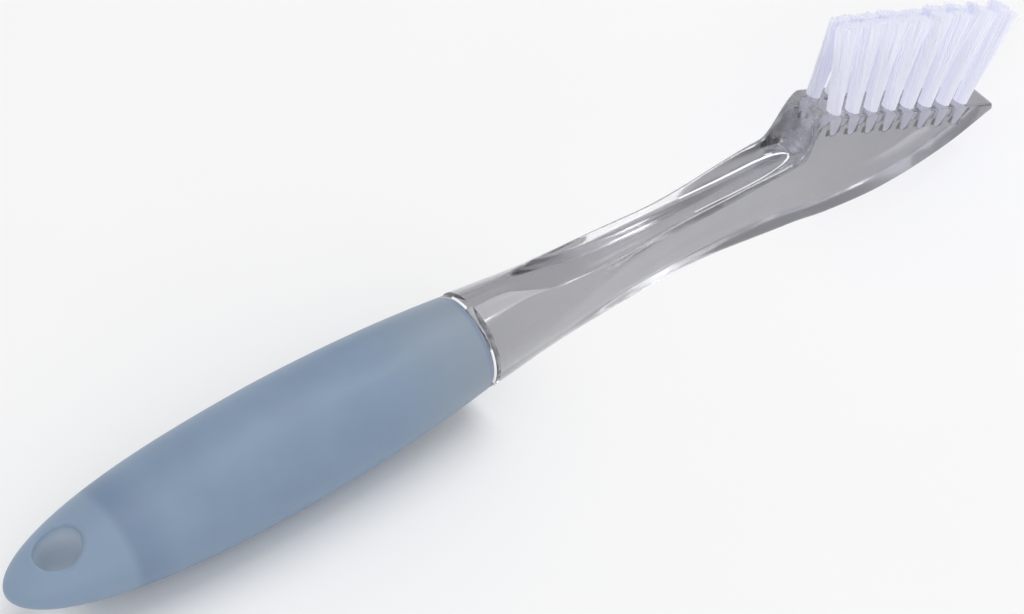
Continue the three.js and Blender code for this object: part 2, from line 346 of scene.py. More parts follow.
def hangHoleCutter():  # a post whose two flares follow the skin, so that both rims come out rounded
    radius, rim, middle = grip["holeDiameter"] / 2, grip["holeRim"], grip["holeAt"]
    start, past = math.radians(grip["flareFrom"]), grip["flarePast"]
    taper, share = grip["holeTaper"] / 2, grip["lowerRimShare"]
    angles = turns(grip["holeSides"])

    def post(side, angle, out, down):
        x = middle + out * math.cos(angle)
        y = out * math.sin(angle)
        return toFrame(x, y, gripSkin(x, y, side) - side * down)

    flare = []
    for turn in spread(start, math.pi / 2, grip["flareSteps"]):
        flare.append((radius + rim * (1 - math.sin(turn)), rim * (1 - math.cos(turn))))
    flare.insert(0, (flare[0][0] + past * math.cos(start), -past * math.sin(start) + flare[0][1] - past))
    flare.insert(0, (radius / 4, -4 * past))  # closes well clear of the rounded skin
    lower = [
        [post(-1, angle, radius - taper + (out - radius) * share, down * share) for angle in angles]
        for out, down in flare
    ]
    upper = [[post(1, angle, out, down) for angle in angles] for out, down in reversed(flare)]
    return extrudeRings("hangHoleCutter", lower + upper)


def makeGrip(rubber):
    tailAngles = spread(grip["tailStart"], math.pi / 2, grip["tailSteps"])
    tail = [grip["widestAt"] * (1 - math.cos(angle)) for angle in tailAngles]
    edgeFrom = grip["length"] - grip["endRound"]
    body = spread(grip["widestAt"], edgeFrom, grip["bodySteps"])[1:]
    rings = [gripRing(x) for x in tail + body]
    for angle in spread(0, math.pi / 2, grip["edgeSteps"])[1:]:
        out = edgeFrom + grip["endRound"] * math.sin(angle)
        rings.append(gripRing(grip["length"], grip["endRound"] * (1 - math.cos(angle)), out))
    for x in reversed(spread(grip["cavityFrom"], grip["length"], grip["cavitySteps"])):
        rings.append(gripRing(x, grip["wall"]))
    piece = extrudeRings("soft_sleeve", rings)
    cutter = hangHoleCutter()
    for part in (piece, cutter):
        part.data.materials.append(rubber)
    cutAway(piece, cutter)
    smoothByAngle(piece, grip["smoothAngle"])
    return piece


# Soft thermoplastic elastomer, moulded over the tang: satin and a little see-through, so that light sinks
# into it and it looks cloudy. Past the end of the tang it is solid and paler, and by the collar it is greyer.
softRubber = {
    "deep": "#7d91a9",
    "pale": "#8297ae",
    "cloudSize": 12,
    "grainSize": 1.1,
    "tail": "#8599af",
    "tangEnd": "#778ba4",  # a darker line, where the end of the tang shows through
    "collarEnd": "#8d9aa8",
    # painted shade: the sleeve's end is darker and more violet in the crease beside the lip
    "edge": "#838fa6",
    "bore": "#c2cdd8",  # painted light: paler, standing in for the light that comes through the thin wall from all round
    "tailFull": -0.5,  # this and the next three count from the end of the cavity
    "tailGone": 2,
    "tangEndFull": 2.5,
    "tangEndGone": 10,
    "collarEndFrom": 74,
    # where that painted shade of the crease starts, and where it is full
    "edgeFrom": 100.2,
    "edgeFull": 100.7,
    "boreLightFrom": 0.1,  # outward from the bore's wall
    "boreLightFull": -0.12,
}


def makeSoftRubber():
    material, tree = newMaterial("blue_grey_soft_TPE")
    spot = addNode(tree, "ShaderNodeTexCoord", {}).outputs["Object"]
    along = addNode(tree, "ShaderNodeSeparateXYZ", {0: spot}).outputs["X"]
    clouds = addNode(tree, "ShaderNodeTexNoise", {
        "Vector": spot, "Scale": perMetre(softRubber["cloudSize"]), "Detail": 3.0,
    })
    grain = addNode(tree, "ShaderNodeTexNoise", {
        "Vector": spot, "Scale": perMetre(softRubber["grainSize"]), "Detail": 2.0,
    })
    cloudShare = addNode(tree, "ShaderNodeMapRange", {
        "Value": clouds.outputs["Fac"], "From Min": 0.3, "From Max": 0.7,
    })
    colour = addNode(tree, "ShaderNodeMix", {
        mixFactor: cloudShare.outputs[0], mixA: srgb(softRubber["deep"]), mixB: srgb(softRubber["pale"]),
    }, data_type="RGBA")
    cavity = grip["cavityFrom"]
    zones = [  # where each tone, and the painted shade at the sleeve's end, is full and where it has faded out
        (softRubber["tangEnd"], cavity + softRubber["tangEndFull"], cavity + softRubber["tangEndGone"]),
        (softRubber["tail"], cavity + softRubber["tailFull"], cavity + softRubber["tailGone"]),
        (softRubber["collarEnd"], grip["length"], softRubber["collarEndFrom"]),
        (softRubber["edge"], softRubber["edgeFull"], softRubber["edgeFrom"]),
    ]
    for tone, full, gone in zones:
        share = addNode(tree, "ShaderNodeMapRange", {
            "Value": along, "From Min": toFrame(gone, 0, 0).x, "From Max": toFrame(full, 0, 0).x,
        }, interpolation_type="SMOOTHSTEP")
        colour = addNode(tree, "ShaderNodeMix", {
            mixFactor: share.outputs[0], mixA: colour.outputs[mixOut], mixB: srgb(tone),
        }, data_type="RGBA")
    holeMiddle = toFrame(grip["holeAt"], 0, 0)
    fromAxis = addNode(tree, "ShaderNodeVectorMath", {0: spot, 1: holeMiddle}, operation="SUBTRACT")
    sideways = addNode(tree, "ShaderNodeVectorMath", {
        0: fromAxis.outputs[0], 1: (1, 1, 0),
    }, operation="MULTIPLY")
    outward = addNode(tree, "ShaderNodeVectorMath", {0: sideways.outputs[0]}, operation="LENGTH")
    holeRadius = grip["holeDiameter"] / 2
    # painted light in the hang hole's bore
    inBore = addNode(tree, "ShaderNodeMapRange", {
        "Value": outward.outputs["Value"],
        "From Min": (holeRadius + softRubber["boreLightFrom"]) / 1000,
        "From Max": (holeRadius + softRubber["boreLightFull"]) / 1000,
    }, interpolation_type="SMOOTHSTEP")
    colour = addNode(tree, "ShaderNodeMix", {
        mixFactor: inBore.outputs[0], mixA: colour.outputs[mixOut], mixB: srgb(softRubber["bore"]),
    }, data_type="RGBA")
    rough = addNode(tree, "ShaderNodeMapRange", {
        "Value": grain.outputs["Fac"], "To Min": 0.38, "To Max": 0.48,
    })
    bump = addNode(tree, "ShaderNodeBump", {
        "Height": grain.outputs["Fac"], "Strength": 0.06, "Distance": 0.0002,
    })
    shader = addNode(tree, "ShaderNodeBsdfPrincipled", {
        "Base Color": colour.outputs[mixOut], "Roughness": rough.outputs[0], "Normal": bump.outputs[0],
        "IOR": 1.48, "Subsurface Weight": 0.35, "Subsurface Radius": (0.8, 1.0, 1.3),
        "Subsurface Scale": 0.002,
    })
    addNode(tree, "ShaderNodeOutputMaterial", {"Surface": shader.outputs[0]})
    return material


dress(makeGrip(makeSoftRubber()), "soft_grip_rubber", "soft_grip")
print("soft sleeve made")


# Clear handle
handle = {
    "tangFrom": 21.0,
    "tangInset": 2.9,
    "tangShort": 1.5,  # the tang's last full section is this far inside the sleeve's end
    "tangSteps": 22,
    "lipFrom": 101.6,
    "lipRound": 0.4,
    "lipPaintedHighlight": [  # stretches with a painted highlight, in degrees from the top to the far side
        (-112, -60),
        (-6, 24),
        (66, 112),
    ],
    "lipSteps": 5,
    "neckFrom": 103.0,
    "collarWidth": 19.6,
    "collarHeight": 19.2,
    "collarRise": 0.8,
    "waistAt": 145.0,
    "waistWidth": 9.4,
    "waistTop": 7.6,
    "waistBottom": -6.9,
    "footAt": 177.1,
    "footTop": 7.3,
    "footBottom": -8.7,
    "edgeRound": 3.0,
    "heelAt": 186.6,
    "heelTop": 14.9,
    "heelRound": 0.4,
    "heelBottom": -10.7,
    "bellyAt": 201.1,
    "bellyBottom": -12.15,
    "chinAt": 218.6,
    "chinBottom": -10.4,
    "tipAt": 230.6,
    "tipTop": -5.4,
    "tipBottom": -6.9,
    "tipRound": 1.0,
    "tipTurn": 80,  # degrees of that rounding
    "tipSteps": 6,
    "tipThin": 0.45,  # of its thickness, from above and from below
    "tipThinPower": 1.5,
    "headWidth": 10.7,
    "lowerRound": 1.3,
    "upperRound": 0.45,
    "footRound": 1.1,
    "ringSteps": [(112, 22), (171, 74), (185.6, 52), (187.4, 18)],  # up to each place, close at the heel
    "headSteps": 34,
    "bottomSteps": 3,
    "lowerSteps": 9,
    "sideSteps": 3,
    "upperSteps": 14,
    "wallShares": [0.05, 0.13, 0.22, 0.32, 0.42, 0.52, 0.62, 0.72, 0.82, 0.92, 1.0],  # from crest to foot
    "floorShares": [0.93, 0.85, 0.65, 0.4, 0.0],  # from foot to middle
    "leastCrest": 0.12,  # of the half width
    "leastFoot": 0.06,  # of the crest's distance from the middle
    "mostFoot": 0.8,
    "smoothAngle": 32,
}
flute = {
    "floor": 5.0,
    "waistFloor": 5.8,
    "floorDropFrom": 150,
    "wallAngles": [  # place and degrees: gentle at the waist
        (103, 52),
        (126, 50),
        (140, 31),
        (152, 31),
        (166, 46),
        (180.3, 46),
    ],
    "collarWidth": 11.0,
    "waistWidth": 5.4,
    "heelWidth": 4.5,
    "rampFrom": 104.0,
    "rampLength": 31.0,
    "closeAt": 170.6,
    "endAt": 180.3,
    "scoopAt": 182.0,  # the heel's hollow, across its rise
    "scoopLength": 9.2,
    "scoopDepth": 1.9,
    "floorEdge": 0.22,  # rounding where the walls meet the floor
    "crest": 0.4,  # rounding of the crests
    "heelCrest": 1.2,  # and where the flute runs up into the heel
    "highlightFrom": 155.0,
    "highlightWidth": 0.3,  # of the painted highlight strip along the foot of the walls
    "highlightPast": 0.4,  # how far past the floor's end, and above the floor, it may lie
    "heelFrom": 174.6,  # from here to heelFull its walls turn into the heel's hollow
    "heelFull": 181.3,
    "heelRise": 0.2,  # past its round end the flute runs up into the heel, ever more steeply
    "heelPower": 2.46,
    "heelBow": 9.0,  # radius of the heel's hollow, seen from above
    "rimWidth": 1.9,  # of the rim along each side of the hollow
    "rimSlope": 2.8,
}
faceSlope = math.atan2(handle["heelTop"] - handle["tipTop"], handle["tipAt"] - handle["heelAt"])

halfWidthLine = lineThrough([
    (handle["neckFrom"], handle["collarWidth"] / 2),
    (handle["waistAt"], handle["waistWidth"] / 2),
    (handle["footAt"], handle["headWidth"] / 2),
    (handle["tipAt"], handle["headWidth"] / 2),
])
neckTopLine = lineThrough([
    (handle["neckFrom"], handle["collarRise"] + handle["collarHeight"] / 2),
    (handle["waistAt"], handle["waistTop"]),
    (handle["footAt"], handle["footTop"]),
])
bottomLine = lineThrough([
    (handle["neckFrom"], handle["collarRise"] - handle["collarHeight"] / 2),
    (handle["waistAt"], handle["waistBottom"]),
    (handle["footAt"], handle["footBottom"]),
    (handle["heelAt"], handle["heelBottom"]),
    (handle["bellyAt"], handle["bellyBottom"]),
    (handle["chinAt"], handle["chinBottom"]),
    (handle["tipAt"], handle["tipBottom"]),
])
fluteHalfLine = lineThrough([
    (handle["neckFrom"], flute["collarWidth"] / 2),
    (handle["waistAt"], flute["waistWidth"] / 2),
    (flute["closeAt"], flute["heelWidth"] / 2),
])
wallAngleLine = lineThrough(flute["wallAngles"])


def faceHeight(x):
    return handle["heelTop"] - (x - handle["heelAt"]) * math.tan(faceSlope)


def edgeRound(x, headRound):
    toWaist = smoothStep(x, handle["neckFrom"], handle["waistAt"])
    toHead = smoothStep(x, handle["waistAt"], handle["footAt"])
    return mix(mix(handle["collarWidth"] / 2, handle["edgeRound"], toWaist), headRound, toHead)


def halfWidthAt(x):
    if x < handle["footAt"]:
        return halfWidthLine(x)
    past = clamp((x - handle["tipAt"] + handle["tipRound"]) / handle["tipRound"])
    return handle["headWidth"] / 2 - handle["tipRound"] * (1 - math.sqrt(1 - past * past))


def fluteHalfWidth(x):
    closed = clamp((x - flute["closeAt"]) / (flute["endAt"] - flute["closeAt"]))
    return fluteHalfLine(x) * math.sqrt(1 - closed * closed)


def fluteFloor(x):
    floor = mix(flute["waistFloor"], flute["floor"], smoothStep(x, flute["floorDropFrom"], flute["closeAt"]))
    depth = handle["collarRise"] + handle["collarHeight"] / 2 - floor
    return floor + depth * (1 - smoothStep(x, flute["rampFrom"], flute["rampFrom"] + flute["rampLength"]))


def fromFloorEdge(x, y):  # how far outside the flute's floor a place is; its end is half an oval
    if x <= flute["closeAt"]:
        return abs(y) - fluteHalfLine(x)
    along, across = flute["endAt"] - flute["closeAt"], flute["heelWidth"] / 2
    reach = math.hypot((x - flute["closeAt"]) / along, y / across)
    return reach * (reach - 1) / math.hypot((x - flute["closeAt"]) / along ** 2, y / across ** 2)


def toHeel(x):  # 0 along the flute, 1 where it runs up into the heel
    return smoothStep(x, flute["heelFrom"], flute["heelFull"])


def fluteHeight(x, y):  # what the flute cuts the top down to
    slope = math.tan(math.radians(wallAngleLine(x)))
    wall = slope * softRise(fromFloorEdge(x, y), flute["floorEdge"])
    past = x - flute["endAt"] + y * y / 2 / flute["heelBow"]
    heel = flute["heelRise"] * max(past, 0) ** flute["heelPower"]
    intoRim = abs(y) - halfWidthAt(x) + flute["rimWidth"]
    heel += flute["rimSlope"] * softRise(intoRim, flute["rimWidth"] / 3)
    return fluteFloor(x) + mix(wall, heel, toHeel(x))


def outerTop(x):  # the top before the flute is cut: neck, heel, then the bristle face
    neck = mix(neckTopLine(x), handle["heelTop"], smoothStep(x, handle["footAt"], handle["heelAt"]))
    return softMin(neck, faceHeight(x), handle["heelRound"]) if x > handle["footAt"] else neck


def handleRing(x, inset=0.0):
    wide = halfWidthAt(x) - inset
    top, bottom = outerTop(x) - inset, bottomLine(x) + inset
    most = 0.97  # leaves a trace of each flat, so that no two points meet
    lowRound = edgeRound(x, handle["lowerRound"])
    arris = mix(handle["footRound"], handle["upperRound"], smoothStep(x, handle["footAt"], handle["heelAt"]))
    highRound = edgeRound(x, arris)
    lowAcross, lowUp = min(lowRound, most * wide), min(lowRound, most * (top - bottom) / 2)
    highAcross, highUp = min(highRound, most * wide), min(highRound, most * (top - bottom) / 2)

    hollow = flute["scoopDepth"] * swell(x - flute["scoopAt"], flute["scoopLength"])

    def roundedTop(y):
        past = clamp((y - (wide - highAcross)) / highAcross)
        return top - highUp * (1 - math.sqrt(1 - past * past)) - hollow * (1 - (y / wide) ** 2)

    blend = mix(flute["crest"], flute["heelCrest"], toHeel(x))

    def finalTop(y):
        return softMin(roundedTop(y), fluteHeight(x, y), blend)

    crest = handle["leastCrest"] * wide
    if fluteHeight(x, crest) < roundedTop(crest):
        low, high = crest, wide
        halvings = 24  # close in on where the flute's wall meets the rounded top
        for _ in range(halvings):
            crest = (low + high) / 2
            low, high = (crest, high) if fluteHeight(x, crest) < roundedTop(crest) else (low, crest)
    foot = clamp(fluteHalfWidth(x), handle["leastFoot"] * crest, handle["mostFoot"] * crest)

    quarter = math.pi / 2
    half = [(y, bottom) for y in spread(0, wide - lowAcross, handle["bottomSteps"])]
    for angle in spread(0, quarter, handle["lowerSteps"])[1:]:
        y = wide - lowAcross + lowAcross * math.sin(angle)
        half.append((y, bottom + lowUp * (1 - math.cos(angle))))
    sideFrom, sideTo = bottom + lowUp, top - highUp
    half += [(wide, z) for z in spread(sideFrom, sideTo, handle["sideSteps"])[1:]]
    corner = [mix(wide, crest, 1 - math.cos(angle)) for angle in spread(0, quarter, handle["upperSteps"])[1:]]
    wall = [mix(crest, foot, share) for share in handle["wallShares"]]
    floor = [foot * share for share in handle["floorShares"]]
    half += [(y, max(sideTo, finalTop(y))) for y in corner]
    half += [(y, finalTop(y)) for y in wall + floor]
    mirrored = [(-y, z) for y, z in reversed(half[1:-1])]
    return [toFrame(x, y, z) for y, z in half + mirrored]


def ovalRing(x, wide, high, middle):  # as many points as a handle ring, with its flats closed up
    ring = []
    for angle in turns(len(handleRing(handle["waistAt"]))):
        ring.append(toFrame(x, wide * math.sin(angle), middle - high * math.cos(angle)))
    return ring


tuftRow = {
    "perRow": 8,
    "firstAt": 2.4,  # along the face from the heel edge
    "pitch": 5.38,
    "rowSpacing": 6.2,
    "firstLean": -10.8,  # degrees towards the tip from square to the face
    "lastLean": 14.2,
    "meetIn": 1.95,  # each row's trimmed ends come in by this, so that the two rows meet
    "heelLength": 19.0,
    "tipLength": 20.4,
}


def tuftTurn(index):
    lean = mix(tuftRow["firstLean"], tuftRow["lastLean"], index / (tuftRow["perRow"] - 1))
    return Matrix.Rotation(faceSlope + math.radians(lean), 3, "Y")


def tuftRoot(index, side):
    x = handle["heelAt"] + (tuftRow["firstAt"] + index * tuftRow["pitch"]) * math.cos(faceSlope)
    return Vector((x, side * tuftRow["rowSpacing"] / 2, faceHeight(x)))


def placeOnFace(piece, index, side, height=0.0):  # the piece is modelled about a tuft's own root
    turn, root = tuftTurn(index), tuftRoot(index, side)
    for vert in piece.data.vertices:
        vert.co = toFrame(*(root + turn @ (vert.co * 1000 + Vector((0, 0, height)))))


eachTuft = [(index, side) for side in (-1, 1) for index in range(tuftRow["perRow"])]

tuftHole = {
    "diameter": 3.0,
    "depth": 5.1,
    "domeFrom": 3.7,
    "domeTurn": 84,  # degrees
    "domeSteps": 5,
    "past": 1.7,  # how far its cutter stands out of the face
    "sides": 22,
}


def makeHoleCutter():
    radius, dome = tuftHole["diameter"] / 2, tuftHole["depth"] - tuftHole["domeFrom"]
    levels = [(tuftHole["past"], radius), (0.0, radius), (-tuftHole["domeFrom"], radius)]
    for angle in spread(0, math.radians(tuftHole["domeTurn"]), tuftHole["domeSteps"])[1:]:
        levels.append((-tuftHole["domeFrom"] - dome * math.sin(angle), radius * math.cos(angle)))
    rings = []
    for height, out in levels:
        angles = turns(tuftHole["sides"])
        rings.append([Vector((out * math.cos(a), out * math.sin(a), height)) / 1000 for a in angles])
    return extrudeRings("holeCutter", rings)


# Painted highlight on the strip where the flute's walls meet its floor, from the waist to its round end.
def paintFluteEdgeHighlight(piece, slot):
    past = flute["highlightPast"]
    for face in piece.data.polygons:
        x, y, z = toBrush(face.center)
        if flute["highlightFrom"] < x < flute["endAt"] + past and 0 < z < fluteFloor(x) + past:
            if abs(fromFloorEdge(x, y)) < flute["highlightWidth"] / 2:
                face.material_index = slot


# Painted highlight on stretches of the lip's bead.
def paintLipHighlight(piece, slot):
    inner = handle["collarHeight"] / 2 - handle["lipRound"]
    for face in piece.data.polygons:
        x, y, z = toBrush(face.center)
        up = z - handle["collarRise"]
        onBead = handle["lipFrom"] < x < handle["lipFrom"] + handle["lipRound"] and math.hypot(y, up) > inner
        angle = math.degrees(math.atan2(y, up))
        if onBead and any(start < angle < end for start, end in handle["lipPaintedHighlight"]):
            face.material_index = slot


def makeHandle(skin, bore, paintedHighlight):
    rings = []
    for x in spread(handle["tangFrom"], grip["length"] - handle["tangShort"], handle["tangSteps"]):
        inset = handle["tangInset"]
        rings.append(ovalRing(x, gripHalfWidth(x) - inset, gripHalfHeight(x) - inset, gripMiddle(x)))
    wide, high, rise = handle["collarWidth"] / 2, handle["collarHeight"] / 2, handle["collarRise"]
    rings.append(ovalRing(handle["lipFrom"], wide - handle["tangInset"], high - handle["tangInset"], rise))
    for angle in spread(0, math.pi / 2, handle["lipSteps"]):
        inset = handle["lipRound"] * (1 - math.sin(angle))
        x = handle["lipFrom"] + handle["lipRound"] * (1 - math.cos(angle))
        rings.append(ovalRing(x, wide - inset, high - inset, rise))
    stations = [handle["neckFrom"]]
    for end, count in handle["ringSteps"] + [(handle["tipAt"] - handle["tipRound"], handle["headSteps"])]:
        stations += spread(stations[-1], end, count)[1:]
    rings += [handleRing(x) for x in stations]
    thickness = handle["tipTop"] - handle["tipBottom"]
    for angle in spread(0, math.radians(handle["tipTurn"]), handle["tipSteps"])[1:]:
        x = handle["tipAt"] - handle["tipRound"] * (1 - math.sin(angle))
        thinner = handle["tipThin"] * thickness * (1 - math.cos(angle)) ** handle["tipThinPower"]
        rings.append(handleRing(x, thinner))
    piece = extrudeRings("clear_body", rings)
    piece.data.materials.append(skin)
    piece.data.materials.append(paintedHighlight)
    highlightSlot = 1
    # the flute's floor edge and stretches of the lip take the painted highlight
    paintFluteEdgeHighlight(piece, highlightSlot)
    paintLipHighlight(piece, highlightSlot)
    single = makeHoleCutter()
    cutters = []
    for index, side in eachTuft:
        cutters.append(copyPiece(single, "holeCutters"))
        placeOnFace(cutters[-1], index, side)
    bpy.data.objects.remove(single)
    cutter = joinPieces("holeCutters", cutters)
    cutter.data.materials.append(bore)
    cutAway(piece, cutter)
    smoothByAngle(piece, handle["smoothAngle"])
    return piece


# Clear styrene-acrylonitrile with a smoky grey tint, moulded in a polished tool: light goes through it, bends
# at each face and gathers in bright lines along its edges; by the flute's floor and on the lip, painted
# highlights.
clearPlastic = {
    "flowSize": 14,
    "hazeSize": 2.5,
    "paleTo": 160,
    "deepFrom": 205,
    "cloudyAlong": [(177, 180), (187.4, 186.4)],  # the heel's hollow is cloudier: where gone, where full
    "cloudyAcross": (5.2, 4.9),
    "cloudyUp": (4.5, 6.5),
    "cloudyHaze": 0.17,
}


def makeClearPlastic(name, deep, pale, haziest, ior, polish):
    material, tree = newMaterial(name)
    spot = addNode(tree, "ShaderNodeTexCoord", {}).outputs["Object"]
    flow = addNode(tree, "ShaderNodeTexNoise", {
        "Vector": spot, "Scale": perMetre(clearPlastic["flowSize"]), "Detail": 2.0,
    })
    haze = addNode(tree, "ShaderNodeTexNoise", {
        "Vector": spot, "Scale": perMetre(clearPlastic["hazeSize"]), "Detail": 2.0,
    })
    place = addNode(tree, "ShaderNodeSeparateXYZ", {0: spot}).outputs
    toHead = addNode(tree, "ShaderNodeMapRange", {
        "Value": place["X"], "From Min": toFrame(clearPlastic["paleTo"], 0, 0).x,
        "From Max": toFrame(clearPlastic["deepFrom"], 0, 0).x, "To Min": 0.08, "To Max": 0.92,
    }, interpolation_type="SMOOTHSTEP")
    wobble = addNode(tree, "ShaderNodeMapRange", {
        "Value": flow.outputs["Fac"], "From Min": 0.3, "From Max": 0.7, "To Min": -0.08, "To Max": 0.08,
    })
    depth = addNode(tree, "ShaderNodeMath", {0: toHead.outputs[0], 1: wobble.outputs[0]}, operation="ADD")
    colour = addNode(tree, "ShaderNodeMix", {
        mixFactor: depth.outputs[0], mixA: srgb(pale), mixB: srgb(deep),
    }, data_type="RGBA")
    rough = addNode(tree, "ShaderNodeMapRange", {
        "Value": haze.outputs["Fac"], "To Min": 0.6 * haziest, "To Max": haziest,
    })
    across = addNode(tree, "ShaderNodeMath", {0: place["Y"]}, operation="ABSOLUTE").outputs[0]
    limits = [(place["X"], *(toFrame(x, 0, 0).x for x in ends)) for ends in clearPlastic["cloudyAlong"]]
    limits.append((across, *(half / 1000 for half in clearPlastic["cloudyAcross"])))
    limits.append((place["Z"], *(toFrame(0, 0, z).z for z in clearPlastic["cloudyUp"])))
    cloudy = clearPlastic["cloudyHaze"]
    for value, gone, full in limits:
        share = addNode(tree, "ShaderNodeMapRange", {
            "Value": value, "From Min": gone, "From Max": full,
        }, interpolation_type="SMOOTHSTEP")
        both = addNode(tree, "ShaderNodeMath", {0: cloudy, 1: share.outputs[0]}, operation="MULTIPLY")
        cloudy = both.outputs[0]
    rough = addNode(tree, "ShaderNodeMath", {0: cloudy, 1: rough.outputs[0]}, operation="ADD")
    shader = addNode(tree, "ShaderNodeBsdfPrincipled", {
        "Base Color": colour.outputs[mixOut], "Roughness": rough.outputs[0], "IOR": ior,
        "Transmission Weight": 1.0, "Coat Weight": polish, "Coat Roughness": 0.02,
    })
    addNode(tree, "ShaderNodeOutputMaterial", {"Surface": shader.outputs[0]})
    return material


# Painted highlight: the same plastic, painted white where a sharp edge would gather the light that runs
# inside it.
def makePaintedHighlight():
    material, tree = newMaterial("smoky_clear_SAN_bright_edge")
    spot = addNode(tree, "ShaderNodeTexCoord", {}).outputs["Object"]
    flow = addNode(tree, "ShaderNodeTexNoise", {"Vector": spot, "Scale": perMetre(3), "Detail": 2.0})
    colour = addNode(tree, "ShaderNodeMix", {
        mixFactor: flow.outputs["Fac"], mixA: srgb("#efeff4"), mixB: srgb("#ffffff"),
    }, data_type="RGBA")
    rough = addNode(tree, "ShaderNodeMapRange", {
        "Value": flow.outputs["Fac"], "To Min": 0.15, "To Max": 0.3,
    })
    shader = addNode(tree, "ShaderNodeBsdfPrincipled", {
        "Base Color": colour.outputs[mixOut], "Roughness": rough.outputs[0], "IOR": 1.57,
        "Transmission Weight": 0.2,
    })
    addNode(tree, "ShaderNodeOutputMaterial", {"Surface": shader.outputs[0]})
    return material


clearBody = makeHandle(
    makeClearPlastic(
        "smoky_clear_SAN", deep="#8f8f94", pale="#a6a6aa", haziest=0.13, ior=1.57, polish=0.8,
    ),
    makeClearPlastic(  # the bores are packed tight with nylon, so they hardly bend the light
        "smoky_clear_SAN_bore", deep="#f4f4f8", pale="#fbfbfd", haziest=0.08, ior=1.06, polish=0.0,
    ),
    makePaintedHighlight(),
)
# Light goes on through it, to the roots and the floor.
clearBody.visible_shadow = clearBody.visible_diffuse = False
dress(clearBody, "clear_plastic", "clear_handle")
print("clear handle made")


# Tufts
tuft = {
    "filaments": 300,
    "filamentDiameter": 0.27,
    "sides": 5,
    "levels": 7,
    "baseRadius": 1.34,
    "topHalfLength": 3.3,
    "topHalfWidth": 1.0,
    "rootDepth": 3.6,  # of the outermost filaments; those in the middle reach down to the fold
    "foldDepth": 1.3,
    "rootTaper": 0.3,
    "wander": 0.18,  # of the trimmed ends, along the row
    "crossWander": 0.7,  # of that, across the row
    "bendPower": 1.5,
    "trim": 0.1,
    "trimShortest": -0.4,
    "trimLongest": 0.3,
    "trimTilt": 0.35,
    "trimStep": 0.3,
    "strayShare": 0.025,
    "strayWander": 0.9,
    "rowShadeShare": 0.5,  # share of the painted shade that the row gives: the far row is painted darker, as it stands in the near one's shade
    "tipLightFrom": 0.6,  # of its levels: painted light, the cut tips are paler where they catch light
    "smoothAngle": 60,
    "seed": 41,
}


def makeFilament():
    radius = tuft["filamentDiameter"] / 2000
    angles = turns(tuft["sides"])
    rings = []
    for level in range(tuft["levels"]):
        rings.append([Vector((radius * math.cos(a), radius * math.sin(a), level / 1000)) for a in angles])
    return extrudeRings("filament", rings)


def bendFilament(filament, index, side, number, rise, tilt, draw):
    length = mix(tuftRow["heelLength"], tuftRow["tipLength"], index / (tuftRow["perRow"] - 1))
    out = math.sqrt((number + 0.5) / tuft["filaments"])
    angle = number * math.pi * (3 - math.sqrt(5)) + side
    u, v = out * math.cos(angle), out * math.sin(angle)
    stray = draw.random() < tuft["strayShare"]
    wander = tuft["strayWander"] if stray else tuft["wander"]
    drift = (draw.gauss(0, wander), draw.gauss(0, wander * tuft["crossWander"]))
    trim = clamp(draw.gauss(0, tuft["trim"]), tuft["trimShortest"], tuft["trimLongest"])
    top = length + rise + tilt * u + trim
    depth = tuft["rootDepth"] + tuft["foldDepth"] * math.sqrt(1 - out * out)
    heights = [-depth, -depth * 0.5, 0, top * 0.25, top * 0.5, top * 0.75, top]
    centres = []
    for height in heights:
        share = max(0, height / length)
        base = tuft["baseRadius"] * (1 - tuft["rootTaper"] * max(0, -height / depth) ** 2)
        bend = share ** tuft["bendPower"]
        x = u * mix(base, tuft["topHalfLength"], share) + drift[0] * bend
        y = v * mix(base, tuft["topHalfWidth"], share) + drift[1] * bend - side * tuftRow["meetIn"] * share
        centres.append(Vector((x, y, height)))
    turn, root = tuftTurn(index), tuftRoot(index, side)
    copy = copyPiece(filament, "bristle")
    levels = [round(vert.co.z * 1000) for vert in copy.data.vertices]
    for vert, level in zip(copy.data.vertices, levels):
        around = Vector((vert.co.x * 1000, vert.co.y * 1000, 0))
        vert.co = toFrame(*(root + turn @ (centres[level] + around)))
    strand = copy.data.attributes.new("strand", "FLOAT", "POINT")
    # painted shade: the far row's filaments are pulled darker
    tone = mix(draw.random(), 0 if side > 0 else 1, tuft["rowShadeShare"])
    last = tuft["levels"] - 1
    # painted light: paler towards the cut tips
    tones = [mix(tone, 1, smoothStep(level, tuft["tipLightFrom"] * last, last)) for level in levels]
    strand.data.foreach_set("value", tones)
    return copy


# Drawn nylon filament: white with a breath of violet, satin along its length; painted light pales the tips
# and painted shade darkens the far row.
def makeNylon():
    material, tree = newMaterial("white_nylon_filament")
    strand = addNode(tree, "ShaderNodeAttribute", {}, attribute_name="strand").outputs["Fac"]
    spot = addNode(tree, "ShaderNodeTexCoord", {}).outputs["Object"]
    draw = addNode(tree, "ShaderNodeTexNoise", {"Vector": spot, "Scale": perMetre(3), "Detail": 1.0})
    # low strand values carry the far row's painted shade, high ones the tips' painted light, over a random
    # tone
    byStrand = addNode(tree, "ShaderNodeMix", {
        mixFactor: strand, mixA: srgb("#dcdded"), mixB: srgb("#f1f2fb"),
    }, data_type="RGBA")
    drawn = addNode(tree, "ShaderNodeMapRange", {"Value": draw.outputs["Fac"], "To Max": 0.3})
    colour = addNode(tree, "ShaderNodeMix", {
        mixFactor: drawn.outputs[0], mixA: byStrand.outputs[mixOut], mixB: srgb("#f0f1fb"),
    }, data_type="RGBA")
    rough = addNode(tree, "ShaderNodeMapRange", {"Value": strand, "To Min": 0.36, "To Max": 0.5})
    shader = addNode(tree, "ShaderNodeBsdfPrincipled", {
        "Base Color": colour.outputs[mixOut], "Roughness": rough.outputs[0], "IOR": 1.53,
        "Subsurface Weight": 0.6, "Subsurface Radius": (1.0, 1.0, 1.1), "Subsurface Scale": 0.0008,
    })
    addNode(tree, "ShaderNodeOutputMaterial", {"Surface": shader.outputs[0]})
    return material


